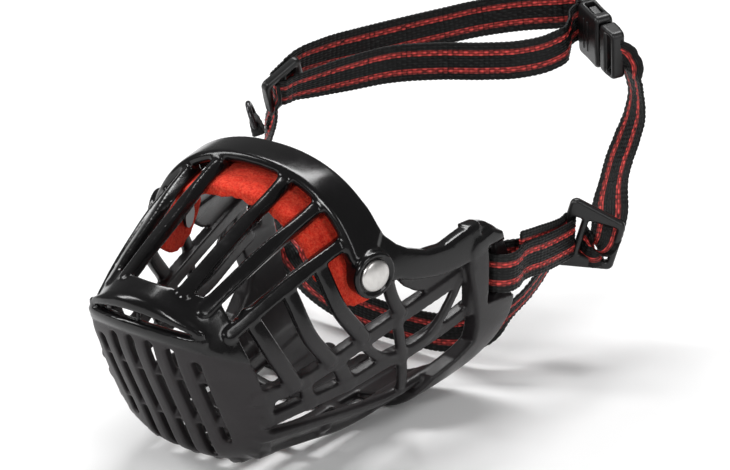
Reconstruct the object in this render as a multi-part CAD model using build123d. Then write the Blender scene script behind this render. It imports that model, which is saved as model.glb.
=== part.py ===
from build123d import *
import math
import os

# Basket muzzle for a dog: a moulded cage with a felt brow pad, and a webbing harness behind it.
# Millimetres. The nose faces -Y, the mouth opens to +Y, +Z is up, and the muzzle stands on z = 0.
# The origin is the middle of the flat underside, NOSE_TO_ORIGIN behind the nose tip.

# ---- driving dimensions -------------------------------------------------------------------
NOSE_TO_ORIGIN = 80.0    # distance from the nose tip back to the origin
CAGE_LENGTH = 148.0      # nose tip to the rear edge of the cage
WALL = 3.0               # wall of the moulding
NOSE_WALL = 4.0          # thickness of the nose plate, measured front to back
BAND_PROUD = 2.8         # how far the brow arch, rim and strap frames stand out
WEBBING_WIDTH = 15.0
WEBBING_THICK = 1.6
DOUBLE_THICK = 3.4       # two layers of webbing sewn together
UPPER_POWER = 2.3        # roundness of the cage section above its widest line
SECTION_SIDES = 28       # flats round one section of the cage
OVERRUN = 8.0            # how far the cavity runs past each end of the cage

# y behind the nose tip, half width, height of the widest line, top height, lowest height, roundness below
STATIONS = [
    (-8.0, 24.5, 38.0, 72.0, 8.0, 3.2),
    (0.0, 26.5, 40.0, 76.5, 8.0, 3.2),
    (12.0, 29.5, 43.0, 81.0, 8.0, 3.2),
    (26.0, 34.5, 46.0, 87.0, 7.4, 3.2),
    (40.0, 38.6, 49.5, 92.5, 6.6, 3.1),
    (60.0, 42.6, 54.0, 101.6, 3.2, 3.1),
    (80.0, 46.2, 55.5, 103.8, -0.6, 3.0),
    (100.0, 49.8, 55.0, 103.8, -0.6, 2.8),
    (126.0, 53.8, 54.5, 103.8, -0.6, 2.6),
    (CAGE_LENGTH, 55.2, 54.0, 103.8, -0.6, 2.4),
]

# side outlines, as (y behind the nose tip, z)
NOSE_PROFILE = [(2.4, 79.0), (1.5, 72.0), (2.4, 62.5), (7.6, 48.0), (17.5, 27.0), (27.0, 8.5), (36.0, -1.0)]
RIM_TOP = [(80, 90), (83, 83), (90, 76), (100, 71.5), (110, 69.5), (118, 69.5), (127, 71), (136, 71.5)]
RIM_DEPTH = 7.5
ARCH_FRONT, ARCH_REAR, ARCH_FOOT = 66.0, 80.0, 76.0
SIDE_OPENING = [
    (22, 64), (68, 80.5), (77, 78), (84, 71), (100, 65), (126, 65), (126, 25),
    (94, 19.5), (60, 22.5), (41, 25.5), (25, 26), (27.5, 36), (25.5, 48),
]
SIDE_BARS = [
    ([(20, 39.5), (44, 43), (85, 51), (130, 57)], 5.0),
    ([(20, 29.5), (60, 33), (85, 35.3), (130, 40.5)], 5.0),
    ([(28, 72), (33, 56), (39, 41)], 5.0),
    ([(40, 78), (45, 58), (53, 45)], 5.5),
    ([(53, 82), (57, 65), (68, 48)], 5.5),
    ([(80, 70), (84, 52), (87, 34), (95, 14)], 4.5),
    ([(41, 43), (46, 30)], 5.0),
    ([(56, 45), (62, 32)], 5.5),
    ([(67, 49), (76, 40), (90, 34)], 4.0),
    ([(119, 55), (112, 46), (104, 39), (93, 34)], 3.5),
]
TOP_RIBS = [(9.5, 15.0), (19.4, 28.0), (27.5, 38.5)]   # half spread at the nose and at the arch
RIB_WIDTH = 5.5
CAP_REAR = 12.5          # rear edge of the nose cap on the centre line
BELLY_RAILS = [(0.0, 0.0), (9.0, 15.0), (18.5, 30.0)]  # half spread at the nose and at the chin
BELLY_START, BELLY_END = 38.0, 128.0
BELLY_HOOPS = [64.0, 94.0]
NOSE_SLOTS = [(3.9, 8.6, 63.2), (11.8, 11.6, 61.8), (19.7, 20.0, 57.6)]   # x, low z, high z
SLOT_WIDTH = 4.0
VENT = (20.0, 69.2, 72.8)                              # half width, low z, high z

# strap frame at each rear corner, as y behind the nose tip and z
FRAME_Y = (125.5, CAGE_LENGTH)
FRAME_Z = (39.0, 71.5)
STRAP_SLOT_Y = (131.5, 138.2)
STRAP_SLOT_Z = (41.0, 60.0)

# rivet that holds the felt to the cage
RIVET_AT = (47.3, 72.4, 71.9)
RIVET_TURN = 18.0        # degrees that the rivet axis is turned forward of +X
BOSS_R, CAP_R, SHANK_R, FLANGE_R = 9.5, 6.0, 2.0, 4.5
FLANGE_SPAN = (-12.6, -11.6)   # along the rivet axis from the boss face
HOLE_R = 2.1
FELT_THICK = 4.0
FELT_GAP = 0.3
FELT_Y = (57.0, 76.0)
FELT_END_R = 13.0


def shift(y):
    """Distance behind the nose tip -> y in the model's frame."""
    return y - NOSE_TO_ORIGIN


def yz(points):
    """Side outline in the model's frame, on the YZ plane."""
    return [(shift(y), z) for y, z in points]


def along_x(sketch_2d, half=90.0):
    """Prism across the whole cage from a side outline drawn as (y, z)."""
    return extrude(Plane.YZ * sketch_2d, half, both=True)


def mirrored(solid):
    return mirror(solid, Plane.YZ)


def cage_section(station, grow, grow_down, run):
    """Section face of the cage at one station, grown outward by grow and moved back by run."""
    y, half_width, mid, top, base, lower_power = station
    points = []
    for i in range(SECTION_SIDES):
        angle = 2 * math.pi * i / SECTION_SIDES
        cosine, sine = math.cos(angle), math.sin(angle)
        power = UPPER_POWER if sine >= 0 else lower_power
        height = top - mid + grow if sine >= 0 else mid - base + grow_down
        x = (half_width + grow) * math.copysign(abs(cosine) ** (2 / power), cosine)
        z = mid + height * math.copysign(abs(sine) ** (2 / power), sine)
        points.append(Vector(x, shift(y + run), z))
    return Face(Wire.make_polygon(points, close=True))


def cage_loft(grow, grow_down=0.0, overrun=0.0):
    """Solid of the cage's outer form, grown sideways and up by grow and down by grow_down."""
    runs = [-overrun] + [0] * (len(STATIONS) - 2) + [overrun]
    return loft([cage_section(s, grow, grow_down, run) for s, run in zip(STATIONS, runs)], ruled=True)


def strip(points, width):
    """Flat bar of the given width along a polyline in a side or plan view."""
    pieces = Sketch()
    for start, end in zip(points, points[1:]):
        run = Vector(*end) - Vector(*start)
        turn = math.degrees(math.atan2(run.Y, run.X))
        middle = (Vector(*start) + Vector(*end)) / 2
        pieces += Pos(middle.X, middle.Y) * Rot(0, 0, turn) * Rectangle(run.length, width)
        pieces += Pos(end[0], end[1]) * Circle(width / 2)
    return pieces


def nose_side(set_back):
    """Everything behind the curved nose face, as seen from the side."""
    front = Spline([(shift(y + set_back), z) for y, z in NOSE_PROFILE])
    rest = Polyline(front @ 1, (shift(170), -1), (shift(170), 130), (shift(1.5 + set_back), 130), front @ 0)
    return along_x(make_face(front + rest))


def rim_side():
    """Everything under the rim line: the cage is open above it behind the arch."""
    points = [(-20, 140), (80, 140)] + RIM_TOP + [(170, 71.5), (170, 0), (-20, 0)]
    return along_x(make_face(Polyline(*yz(points), close=True)))


def proud_side():
    """Side outline of what stands proud: brow arch, swept rim, strap frame and chin band."""
    arch = [(ARCH_FRONT, 140), (ARCH_REAR, 140), (ARCH_REAR, ARCH_FOOT), (ARCH_FRONT, ARCH_FOOT)]
    sketch = make_face(Polyline(*yz(arch), close=True))
    lower = [(y, z - RIM_DEPTH) for y, z in reversed(RIM_TOP)]
    sweep_band = [(76, 92)] + RIM_TOP + lower + [(76, 66)]
    sketch += make_face(Polyline(*yz(sweep_band), close=True))
    frame = [(FRAME_Y[0], FRAME_Z[0]), (FRAME_Y[0], FRAME_Z[1]), (FRAME_Y[1], FRAME_Z[1]), (FRAME_Y[1], 0),
             (131, 0), (129, 24)]
    sketch += make_face(Polyline(*yz(frame), close=True))
    recess = [(STRAP_SLOT_Y[0], z) for z in STRAP_SLOT_Z] + [(160, z) for z in reversed(STRAP_SLOT_Z)]
    sketch -= make_face(Polyline(*yz(recess), close=True))
    return along_x(sketch)


def side_windows():
    opening = make_face(Polyline(*yz(SIDE_OPENING), close=True))
    for points, width in SIDE_BARS:
        opening -= strip(yz(points), width)
    return along_x(opening)


def top_windows():
    """Long gaps between the nose ribs, seen from above."""
    nose_half, arch_half = TOP_RIBS[-1]
    inset = RIB_WIDTH / 2
    side_start, arch_line = shift(CAP_REAR + 6), shift(ARCH_FRONT + 0.5)
    outline = Polyline((-nose_half + inset, side_start), (0, shift(CAP_REAR)), (nose_half - inset, side_start),
                       (arch_half - inset, arch_line), (-arch_half + inset, arch_line), close=True)
    gaps = make_face(outline)
    for low, high in TOP_RIBS[:-1]:
        for side in (-1, 1):
            rib = [(side * low, shift(CAP_REAR - 4)), (side * high, shift(ARCH_FRONT + 4))]
            gaps -= strip(rib, RIB_WIDTH)
    return extrude(Plane.XY.offset(62) * gaps, 60)


def belly_windows():
    """Gaps between the rails under the jaw, seen from below."""
    outline = Polyline(
        (-24, shift(BELLY_START)), (24, shift(BELLY_START)),
        (36, shift(BELLY_END)), (-36, shift(BELLY_END)), close=True)
    gaps = make_face(outline)
    for low, high in BELLY_RAILS:
        for side in (-1, 1):
            gaps -= strip([(side * low, shift(BELLY_START - 4)), (side * high, shift(BELLY_END + 4))], 5.5)
    for y in BELLY_HOOPS:
        gaps -= Pos(0, shift(y)) * Rectangle(90, 5)
    return extrude(Plane.XY.offset(-5) * gaps, 18)


def nose_cutters():
    """Breathing slots and the wide vent above them, cut front to back."""
    cutters = Part()
    for x, low, high in NOSE_SLOTS:
        for side in (-1, 1):
            slot = Pos(side * x, (low + high) / 2) * Rot(0, 0, 90) * SlotOverall(high - low, SLOT_WIDTH)
            cutters += extrude(Plane.XZ.offset(-shift(-20)) * slot, -62)
    half, low, high = VENT
    vent = Pos(0, (low + high) / 2) * SlotOverall(2 * half, high - low)
    cutters += extrude(Plane.XZ.offset(-shift(-20)) * vent, -32)
    return cutters


def nose_bars():
    """Two stiffening bars moulded across the back of the nose plate."""
    bars = Part()
    for y, z in ((10.6, 49.3), (20.6, 28.6)):
        bars += Pos(0, shift(y), z) * Rot(-27, 0, 0) * Box(46, 3.4, 4.6)
    return bars


def rivet_plane():
    turn = math.radians(RIVET_TURN)
    x, y, z = RIVET_AT
    return Plane(origin=(x, shift(y), z), z_dir=(math.cos(turn), -math.sin(turn), 0))


def disc(radius, start, end):
    """Cylinder on the rivet axis between two distances from the boss face."""
    return rivet_plane() * (Pos(0, 0, (start + end) / 2) * Cylinder(radius, abs(end - start)))


def both_sides(solid):
    return solid + mirrored(solid)


def make_basket():
    """The one-piece moulding: shell with its windows, proud bands, nose bars and rivet bosses."""
    cavity = cage_loft(-WALL, -WALL, OVERRUN)
    shell = (cage_loft(0) & nose_side(0)) - (cavity & nose_side(NOSE_WALL))
    shell = shell - side_windows() - top_windows() - belly_windows() - nose_cutters()
    band = (cage_loft(BAND_PROUD) & proud_side()) - cavity
    basket = shell + band + (nose_bars() & cage_loft(-1.0, -1.0))
    basket = (basket & rim_side()) + both_sides(disc(BOSS_R, -5.0, 0.0))
    slot = Rectangle(STRAP_SLOT_Y[1] - STRAP_SLOT_Y[0], STRAP_SLOT_Z[1] - STRAP_SLOT_Z[0])
    slot_middle = (shift(sum(STRAP_SLOT_Y) / 2), sum(STRAP_SLOT_Z) / 2)
    basket = basket - along_x(Pos(*slot_middle) * slot)
    basket = basket - both_sides(disc(HOLE_R, -12, 3) + disc(CAP_R + 0.6, 0.0, 6.0))
    return basket - Pos(0, 0, -10) * Box(300, 600, 20)


def make_felt():
    """Strip of felt lining the inside of the brow arch, with a rounded end under each rivet."""
    x, y, z = RIVET_AT
    span = FELT_Y[1] - FELT_Y[0]
    outline = Pos(shift(sum(FELT_Y) / 2), z + 40) * Rectangle(span, 80)
    outline += Pos(shift(y), z) * Circle(FELT_END_R)
    strip_solid = cage_loft(-WALL - FELT_GAP, -WALL - FELT_GAP) & along_x(outline)
    strip_solid = strip_solid - cage_loft(-WALL - FELT_GAP - FELT_THICK, -WALL - FELT_THICK, OVERRUN)
    shank_hole = disc(HOLE_R + 0.2, -20, 3)
    flange_seat = disc(FLANGE_R + 0.4, -20, FLANGE_SPAN[1] + 0.05)
    return strip_solid - both_sides(shank_hole + flange_seat)


def make_rivet_cap():
    dome = Sphere(14.0)
    cap = Pos(0, 0, -14.0 + 2.2) * dome & Pos(0, 0, 2.0) * Cylinder(CAP_R, 3.8)
    cap += Pos(0, 0, 0.35) * Cylinder(CAP_R, 0.5)
    return rivet_plane() * cap + disc(1.3, -8.5, 0.2)


def make_rivet_post():
    return disc(FLANGE_R, *FLANGE_SPAN) + disc(SHANK_R, FLANGE_SPAN[0], -0.2) - disc(1.35, -10.5, 1)


def ribbon(route, thick, width=WEBBING_WIDTH):
    """Webbing along a route of points (x, y behind the nose tip, z), each with its width direction."""
    points = [Vector(x, shift(y), z) for (x, y, z), _ in route]
    faces = []
    for i, point in enumerate(points):
        tangent = points[min(i + 1, len(points) - 1)] - points[max(i - 1, 0)]
        across = Vector(*route[i][1])
        across = (across - tangent * (across.dot(tangent) / tangent.dot(tangent))).normalized()
        faces.append(Plane(origin=point, x_dir=across, z_dir=tangent) * Rectangle(width, thick))
    return loft(faces, ruled=True)


def local_frame(centre, along, up):
    """Plane with x along, y up and z = x cross y, at a place given behind the nose tip."""
    x, y, z = centre
    direction = Vector(*along).normalized()
    rise = Vector(*up)
    rise = (rise - direction * rise.dot(direction)).normalized()
    return Plane(origin=(x, shift(y), z), x_dir=direction, z_dir=direction.cross(rise))


# ---- harness layout -----------------------------------------------------------------------
UP = (0, 0, 1)
RIGHT_CHEEK = [
    ((57.0, 139.5, 50.5), UP), ((57.6, 148, 50.2), UP), ((58.6, 158, 49.6), UP),
    ((59.0, 168, 48.8), UP), ((58.6, 178, 47.6), UP), ((57.8, 183.6, 46.9), UP),
]
RIGHT_NECK = [
    ((63.0, 194.5, 46.0), (0.2, 0, 1)), ((61.5, 199, 48.5), (0.6, -0.2, 0.8)),
    ((61.2, 202, 54), (0.9, -0.3, 0.4)), ((61.6, 206, 61), (0.9, -0.4, 0.1)),
    ((61.5, 212, 68), (0.9, -0.4, 0.1)), ((60.4, 220, 75), (0.9, -0.45, 0.1)),
    ((59.2, 227, 83), (0.85, -0.5, 0.2)), ((57.8, 230, 91), (0.7, -0.6, 0.4)),
    ((56.4, 228.2, 98), (0.4, -0.6, 0.7)), ((55.3, 225.6, 103.6), (0.15, -0.35, 0.9)),
]
LEFT_CHEEK = [
    ((-56.7, 139.5, 50.5), UP), ((-57.4, 147, 50.5), UP), ((-59.2, 152.5, 52), (0, -0.2, 1)),
    ((-60.6, 156.5, 57), (0, -0.6, 0.8)), ((-61.0, 159, 64.5), (0.1, -1, 0.2)),
    ((-59.2, 157, 72), (0.4, -0.9, 0)), ((-56.2, 152.2, 78.0), (0.65, -0.75, -0.1)),
    ((-53.7, 146.6, 82.6), (0.7, -0.6, 0.1)), ((-52.9, 143.6, 84.2), (0.6, -0.5, 0.5)),
]
NECK_LOOP = [
    ((-47.7, 146, 98.8), (0.3, -0.45, 0.84)), ((-45.8, 153.6, 102.2), (0.25, -0.3, 0.9)),
    ((-41.5, 166, 103.5), (0.1, -0.2, 1)), ((-35.5, 182, 103.5), UP), ((-27.5, 197.5, 104.5), UP),
    ((-18.5, 211, 106), UP), ((-8.5, 223, 108), UP), ((4.5, 233.8, 110), UP), ((15.5, 241, 111), UP),
    ((22.0, 245, 111.5), UP), ((27.7, 244.1, 111.2), UP), ((30.2, 241.6, 110.8), UP),
    ((28.85, 238.6, 110.2), UP), ((27.2, 236.0, 109.6), UP), ((27.0, 233, 108.6), UP),
    ((28.6, 229, 107.2), UP), ((29.8, 224.5, 105.6), UP), ((27, 218, 103.4), UP),
    ((19.5, 209.5, 101.6), UP), ((8, 202, 100.6), UP), ((-7, 193.6, 100), UP), ((-21, 182, 99.3), UP),
    ((-30.5, 166, 98.2), (0.1, -0.2, 1)), ((-37.3, 154.5, 97.0), (0.25, -0.3, 0.9)),
    ((-41.8, 147.2, 96.2), (0.3, -0.45, 0.84)),
]
THROAT = [
    ((50.0, 181.5, 34.5), (0.35, -0.6, 0.72)), ((49.8, 175.5, 30.3), (0.35, -0.6, 0.72)),
    ((49.0, 168.5, 25.0), (0.35, -0.6, 0.72)), ((46.0, 161.8, 19.5), (0.3, -0.25, 0.85)),
    ((39.5, 157.0, 15.0), (0.2, 0.05, 0.93)), ((30.0, 154.4, 11.8), (0.05, 0.1, 1)),
    ((22, 153.2, 10.2), (0, 0.1, 1)), ((6, 152.4, 9.2), UP), ((-10, 152.6, 9.2), UP),
    ((-26, 153.8, 10.6), (0, 0.1, 1)), ((-40, 156, 14.5), (-0.2, 0.2, 0.95)),
    ((-51, 158.5, 22), (-0.5, 0.2, 0.8)), ((-57.5, 158.5, 31), (-0.4, 0.5, 0.6)),
    ((-60.5, 156.5, 41), (-0.1, 0.9, 0.3)),
]

ADJUSTER_AT = ((60.0, 188.6, 47.0), (15.2, 8.0, -4.5), (0.1, 0.05, 1))
TRIGLIDE_AT = ((-45.0, 145.6, 97.3), (0.3, 0.83, 0.47), (0.32, -0.46, 0.83))
BUCKLE_AT = ((41.2, 231.0, 108.0), (-0.84, 0.52, 0.15), (0, -0.15, 1))
RING_AT = ((-61.4, 149.4, 77.5), (0.6, -0.8, 0), (-0.28, -0.2, 1))

# strap slides, drawn with the strap running along local x
SLIDE_THICK = 2.6
SLIDE_CORNER = 2.4
SLIDE_BAR = 2.6            # width of the two end bars
CENTRE_BAR_HALF = 1.3
SLIDE_WINDOW_HALF = 7.9    # half the length of a strap window

# side-release buckle, drawn with the plug entering along local +x
SLEEVE_SPAN, SLEEVE_WIDTH, SLEEVE_HALF = (-4.0, 12.0), 22.0, 3.9
MOUTH_SPAN, MOUTH_WIDTH, MOUTH_HEIGHT = (-5.0, 10.0), 17.6, 4.6
SIDE_WINDOW_SPAN, SIDE_WINDOW_HEIGHT = (0.75, 9.25), 3.9
TAIL_SPAN, TAIL_WIDTH, TAIL_HALF = (10.1, 19.1), 20.0, 1.4
TAIL_SLOT_SPAN = (12.8, 16.6)
PLUG_SPAN, PLUG_WIDTH, PLUG_HALF = (-15.45, -4.95), 20.0, 3.2
PLUG_SLOT_SPAN = (-13.1, -9.7)
BUCKLE_SLOT = 16.0         # length of the slot that the webbing goes through
TONGUE_SPAN, TONGUE_WIDTH, TONGUE_HEIGHT = (-5.25, 8.25), 4.6, 2.6
# outline of one sprung arm and its barb, as (x, distance from the middle)
ARM = [(-4.9, 5.4), (8.4, 6.4), (9.0, 8.0), (6.6, 10.6), (1.6, 10.2), (1.3, 8.4), (-4.9, 8.2)]
ARM_HALF = 1.6

RING_WIRE_R, RING_BAR_HALF, RING_REACH = 1.1, 5.2, 9.5
KEEPER_LENGTH, KEEPER_WIDTH, KEEPER_DROP = 7.0, 8.0, 1.5
KEEPER_HALF, KEEPER_BORE_R = 2.6, 1.35


def slide(left_half, right_half, reach_left, reach_right):
    """Three-bar strap slide: a flat frame with a strap window on each side of its centre bar."""
    outline = Polyline((-reach_left, -left_half), (reach_right, -right_half),
                       (reach_right, right_half), (-reach_left, left_half), close=True)
    plate = fillet(make_face(outline).vertices(), SLIDE_CORNER)
    windows = ((-reach_left + SLIDE_BAR, -CENTRE_BAR_HALF), (CENTRE_BAR_HALF, reach_right - SLIDE_BAR))
    for low, high in windows:
        plate -= Pos((low + high) / 2, 0) * RectangleRounded(high - low, 2 * SLIDE_WINDOW_HALF, 0.9)
    return extrude(plate, SLIDE_THICK / 2, both=True)


def across_span(span, width, corner=0.0):
    """Rectangle between two places along local x, centred on the x axis."""
    length = span[1] - span[0]
    shape = RectangleRounded(length, width, corner) if corner else Rectangle(length, width)
    return Pos(sum(span) / 2, 0) * shape


def make_buckle_female():
    """Sleeve with a mouth for the plug, a side window for each arm and a bar for the webbing."""
    female = extrude(across_span(SLEEVE_SPAN, SLEEVE_WIDTH, 2.0), SLEEVE_HALF, both=True)
    tail = across_span(TAIL_SPAN, TAIL_WIDTH, 1.5) - across_span(TAIL_SLOT_SPAN, BUCKLE_SLOT)
    female += extrude(tail, TAIL_HALF, both=True)
    female -= extrude(across_span(MOUTH_SPAN, MOUTH_WIDTH), MOUTH_HEIGHT / 2, both=True)
    side_windows_2d = across_span(SIDE_WINDOW_SPAN, SLEEVE_WIDTH + 8)
    return female - extrude(side_windows_2d, SIDE_WINDOW_HEIGHT / 2, both=True)


def make_buckle_male():
    """Plug half: cross bar with a strap slot, and the straight centre tongue."""
    base = across_span(PLUG_SPAN, PLUG_WIDTH, 2.0) - across_span(PLUG_SLOT_SPAN, BUCKLE_SLOT)
    male = extrude(base, PLUG_HALF, both=True)
    return male + extrude(across_span(TONGUE_SPAN, TONGUE_WIDTH), TONGUE_HEIGHT / 2, both=True)


def make_buckle_arms():
    """The two sprung arms of the plug, with a barb that stands in each side window."""
    arms = Part()
    for side in (-1, 1):
        outline = Polyline([(x, side * y) for x, y in ARM], close=True)
        arms += extrude(make_face(outline), ARM_HALF, both=True)
    return arms


def make_ring():
    """D-shaped ring of round wire, its straight bar along the local x axis."""
    corners = [(-RING_BAR_HALF, 0), (RING_BAR_HALF, 0)]
    bar = Rot(0, 90, 0) * Cylinder(RING_WIRE_R, 2 * RING_BAR_HALF)
    arc = ThreePointArc(corners[1], (0, RING_REACH), corners[0])
    loop = sweep(Plane(origin=arc @ 0, z_dir=arc % 0) * Circle(RING_WIRE_R), path=arc)
    ends = [Pos(x, y, 0) * Sphere(RING_WIRE_R) for x, y in corners]
    return bar + loop + ends[0] + ends[1]


def make_keeper():
    """Folded tab of webbing round the ring's straight bar, sewn to the left strap."""
    outline = Pos(0, -KEEPER_DROP) * RectangleRounded(KEEPER_WIDTH, KEEPER_LENGTH, 2.0)
    tab = extrude(outline, KEEPER_HALF, both=True)
    return tab - Rot(0, 90, 0) * Cylinder(KEEPER_BORE_R, 30)


NODES = {
    "basket": make_basket,
    "brow_felt_pad": make_felt,
    "right_rivet_cap": make_rivet_cap,
    "left_rivet_cap": lambda: mirrored(make_rivet_cap()),
    "right_rivet_post": make_rivet_post,
    "left_rivet_post": lambda: mirrored(make_rivet_post()),
    "right_cheek_strap": lambda: ribbon(RIGHT_CHEEK, DOUBLE_THICK),
    "right_neck_strap": lambda: ribbon(RIGHT_NECK, WEBBING_THICK),
    "left_cheek_strap": lambda: ribbon(LEFT_CHEEK, WEBBING_THICK),
    "neck_loop_strap": lambda: ribbon(NECK_LOOP, WEBBING_THICK),
    "throat_strap": lambda: ribbon(THROAT, WEBBING_THICK),
    "right_adjuster": lambda: local_frame(*ADJUSTER_AT) * slide(14.0, 10.2, 7.4, 15.0),
    "left_tri_glide": lambda: local_frame(*TRIGLIDE_AT) * slide(10.2, 10.2, 9.0, 9.0),
    "buckle_female": lambda: local_frame(*BUCKLE_AT) * make_buckle_female(),
    "buckle_male": lambda: local_frame(*BUCKLE_AT) * make_buckle_male(),
    "buckle_spring_arms": lambda: local_frame(*BUCKLE_AT) * make_buckle_arms(),
    "d_ring": lambda: local_frame(*RING_AT) * make_ring(),
    "d_ring_keeper": lambda: local_frame(*RING_AT) * make_keeper(),
}

os.makedirs("parts", exist_ok=True)
for name, make in NODES.items():
    shape = make()
    export_step(shape, f"parts/{name}.step")
    print(name, round(shape.volume, 1), len(shape.solids()))
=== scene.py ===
import math
import bpy
import numpy as np
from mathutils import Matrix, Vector


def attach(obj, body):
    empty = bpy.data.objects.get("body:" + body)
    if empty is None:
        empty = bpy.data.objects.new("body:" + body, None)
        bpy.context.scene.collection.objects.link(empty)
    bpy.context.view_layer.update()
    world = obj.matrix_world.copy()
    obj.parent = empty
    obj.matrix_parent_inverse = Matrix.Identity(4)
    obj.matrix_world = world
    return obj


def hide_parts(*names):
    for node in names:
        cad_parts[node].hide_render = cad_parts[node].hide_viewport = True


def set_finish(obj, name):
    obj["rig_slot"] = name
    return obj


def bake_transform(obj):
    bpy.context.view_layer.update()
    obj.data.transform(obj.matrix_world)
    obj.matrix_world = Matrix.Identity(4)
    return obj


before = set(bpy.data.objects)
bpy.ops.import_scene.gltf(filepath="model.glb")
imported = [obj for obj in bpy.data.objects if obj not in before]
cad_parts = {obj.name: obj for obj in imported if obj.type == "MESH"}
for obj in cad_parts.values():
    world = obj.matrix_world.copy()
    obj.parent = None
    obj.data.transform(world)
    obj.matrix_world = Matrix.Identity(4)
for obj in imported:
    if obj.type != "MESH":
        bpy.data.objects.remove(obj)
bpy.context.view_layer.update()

# Basket muzzle. Everything below is worked out in millimetres, with y measured back from the nose
# tip as in the CAD model, and is brought into the frame's metres by to_frame().
MM = 0.001
NOSE_TO_ORIGIN = 80.0
CAGE_LENGTH = 148.0
WALL = 3.0
UPPER_POWER = 2.3
BAND_PROUD = 2.6

# y, half width, height of the widest line, top height, lowest height, roundness below
STATIONS = np.array([
    (-8, 24.5, 38, 72, 8, 3.2), (0, 26.5, 40, 76.5, 8, 3.2),
    (12, 29.5, 43, 81, 8, 3.2), (26, 34.5, 46, 87, 7.4, 3.2),
    (40, 38.6, 49.5, 92.5, 6.6, 3.1), (60, 42.6, 54, 101.6, 3.2, 3.1),
    (80, 46.2, 55.5, 103.8, -0.6, 3), (100, 49.8, 55, 103.8, -0.6, 2.8),
    (126, 53.8, 54.5, 103.8, -0.6, 2.6), (CAGE_LENGTH, 55.2, 54, 103.8, -0.6, 2.4)])

RIVET_AT = (47.3, 72.4, 71.9)
RIVET_TURN = math.radians(18.0)       # the rivets' axes point this far forward of straight sideways
RIVET_COS, RIVET_SIN = math.cos(RIVET_TURN), math.sin(RIVET_TURN)
BOSS_RADIUS = 8.5
CAP_RADIUS = 6.0

rng = np.random.default_rng(7)


def to_frame(points):
    """Millimetres behind the nose tip -> metres in the CAD frame."""
    points = np.asarray(points, float)
    return (points - (0.0, NOSE_TO_ORIGIN, 0.0)) * MM


# ---- curves and tables ----
def smooth_table(xs, ys, x):
    """Smooth curve through a table of values."""
    xs, ys = np.asarray(xs, float), np.asarray(ys, float)
    slopes = np.gradient(ys, xs)
    x = np.clip(x, xs[0], xs[-1])
    i = np.clip(np.searchsorted(xs, x) - 1, 0, len(xs) - 2)
    gap = xs[i + 1] - xs[i]
    t = (x - xs[i]) / gap
    return ((1 + 2 * t) * (1 - t) ** 2 * ys[i] + t * (1 - t) ** 2 * gap * slopes[i]
            + t * t * (3 - 2 * t) * ys[i + 1] + t * t * (t - 1) * gap * slopes[i + 1])


def smooth_path(points, spacing):
    """Evenly spaced points on a smooth curve through the given points."""
    points = np.asarray(points, float)
    steps = np.linalg.norm(np.diff(points[:, :3], axis=0), axis=1)
    along = np.concatenate([[0], np.cumsum(steps)])
    samples = np.linspace(0, along[-1], max(2, int(round(along[-1] / spacing)) + 1))
    return np.stack([smooth_table(along, points[:, k], samples) for k in range(points.shape[1])], axis=1)


# ---- signed distances ----
def smin(a, b, k):
    """Union with a fillet of about k."""
    h = np.maximum(k - np.abs(a - b), 0.0) / k
    return np.minimum(a, b) - h * h * k * 0.25


def smax(a, b, k):
    return -smin(-a, -b, k)


def round_box(a, b, half_a, half_b, radius):
    """Distance to a rounded rectangle in two distances a and b from its middle."""
    qa = np.abs(a) - half_a + radius
    qb = np.abs(b) - half_b + radius
    outside = np.sqrt(np.maximum(qa, 0) ** 2 + np.maximum(qb, 0) ** 2)
    return outside + np.minimum(np.maximum(qa, qb), 0.0) - radius


def plate(outline, off, half, radius):
    """Distance to a plate with rounded edges, from the distance to its outline and off its middle."""
    q_edge = outline + radius
    q_face = np.abs(off) - half + radius
    outside = np.sqrt(np.maximum(q_edge, 0) ** 2 + np.maximum(q_face, 0) ** 2)
    return outside + np.minimum(np.maximum(q_edge, q_face), 0) - radius


def polygon_distance(u, v, corners):
    """Signed distance to a closed outline in a plane, negative inside."""
    corners = np.asarray(corners, float)
    best = np.full(np.broadcast(u, v).shape, 1e9)
    inside = np.zeros(best.shape, bool)
    for (au, av), (bu, bv) in zip(corners, np.roll(corners, -1, axis=0)):
        du, dv = bu - au, bv - av
        t = np.clip(((u - au) * du + (v - av) * dv) / (du * du + dv * dv), 0, 1)
        best = np.minimum(best, (u - au - t * du) ** 2 + (v - av - t * dv) ** 2)
        crosses = (av > v) != (bv > v)
        slope = du / dv if dv else 0.0
        inside ^= crosses & (u < au + (v - av) * slope)
    return np.where(inside, -1, 1) * np.sqrt(best)


def path_distance(x, y, z, points):
    """Distance to a polyline in space."""
    best = np.full(np.broadcast(x, y, z).shape, 1e9, np.float32)
    for a, b in zip(points, points[1:]):
        d = b - a
        t = np.clip(((x - a[0]) * d[0] + (y - a[1]) * d[1] + (z - a[2]) * d[2]) / (d @ d), 0, 1)
        off_x, off_y, off_z = x - a[0] - t * d[0], y - a[1] - t * d[1], z - a[2] - t * d[2]
        np.minimum(best, off_x ** 2 + off_y ** 2 + off_z ** 2, out=best)
    return np.sqrt(best)


def form_at(y):
    return [smooth_table(STATIONS[:, 0], STATIONS[:, k], y) for k in range(1, 6)]


def form_distance(x, y, z):
    """Distance to the cage's outer form, positive outside."""
    half, mid, top, base, lower = form_at(y)
    rise = z - mid
    height = np.where(rise >= 0, top - mid, mid - base)
    power = np.where(rise >= 0, UPPER_POWER, lower)
    across = np.abs(x) / half + 1e-4
    up = np.abs(rise) / height + 1e-4
    r = (across ** power + up ** power) ** (1 / power)
    slope_across, slope_up = across ** (power - 1) / half, up ** (power - 1) / height
    gradient = r ** (1 - power) * np.sqrt(slope_across ** 2 + slope_up ** 2)
    return np.clip((r - 1) / gradient, -40, 60)


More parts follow.
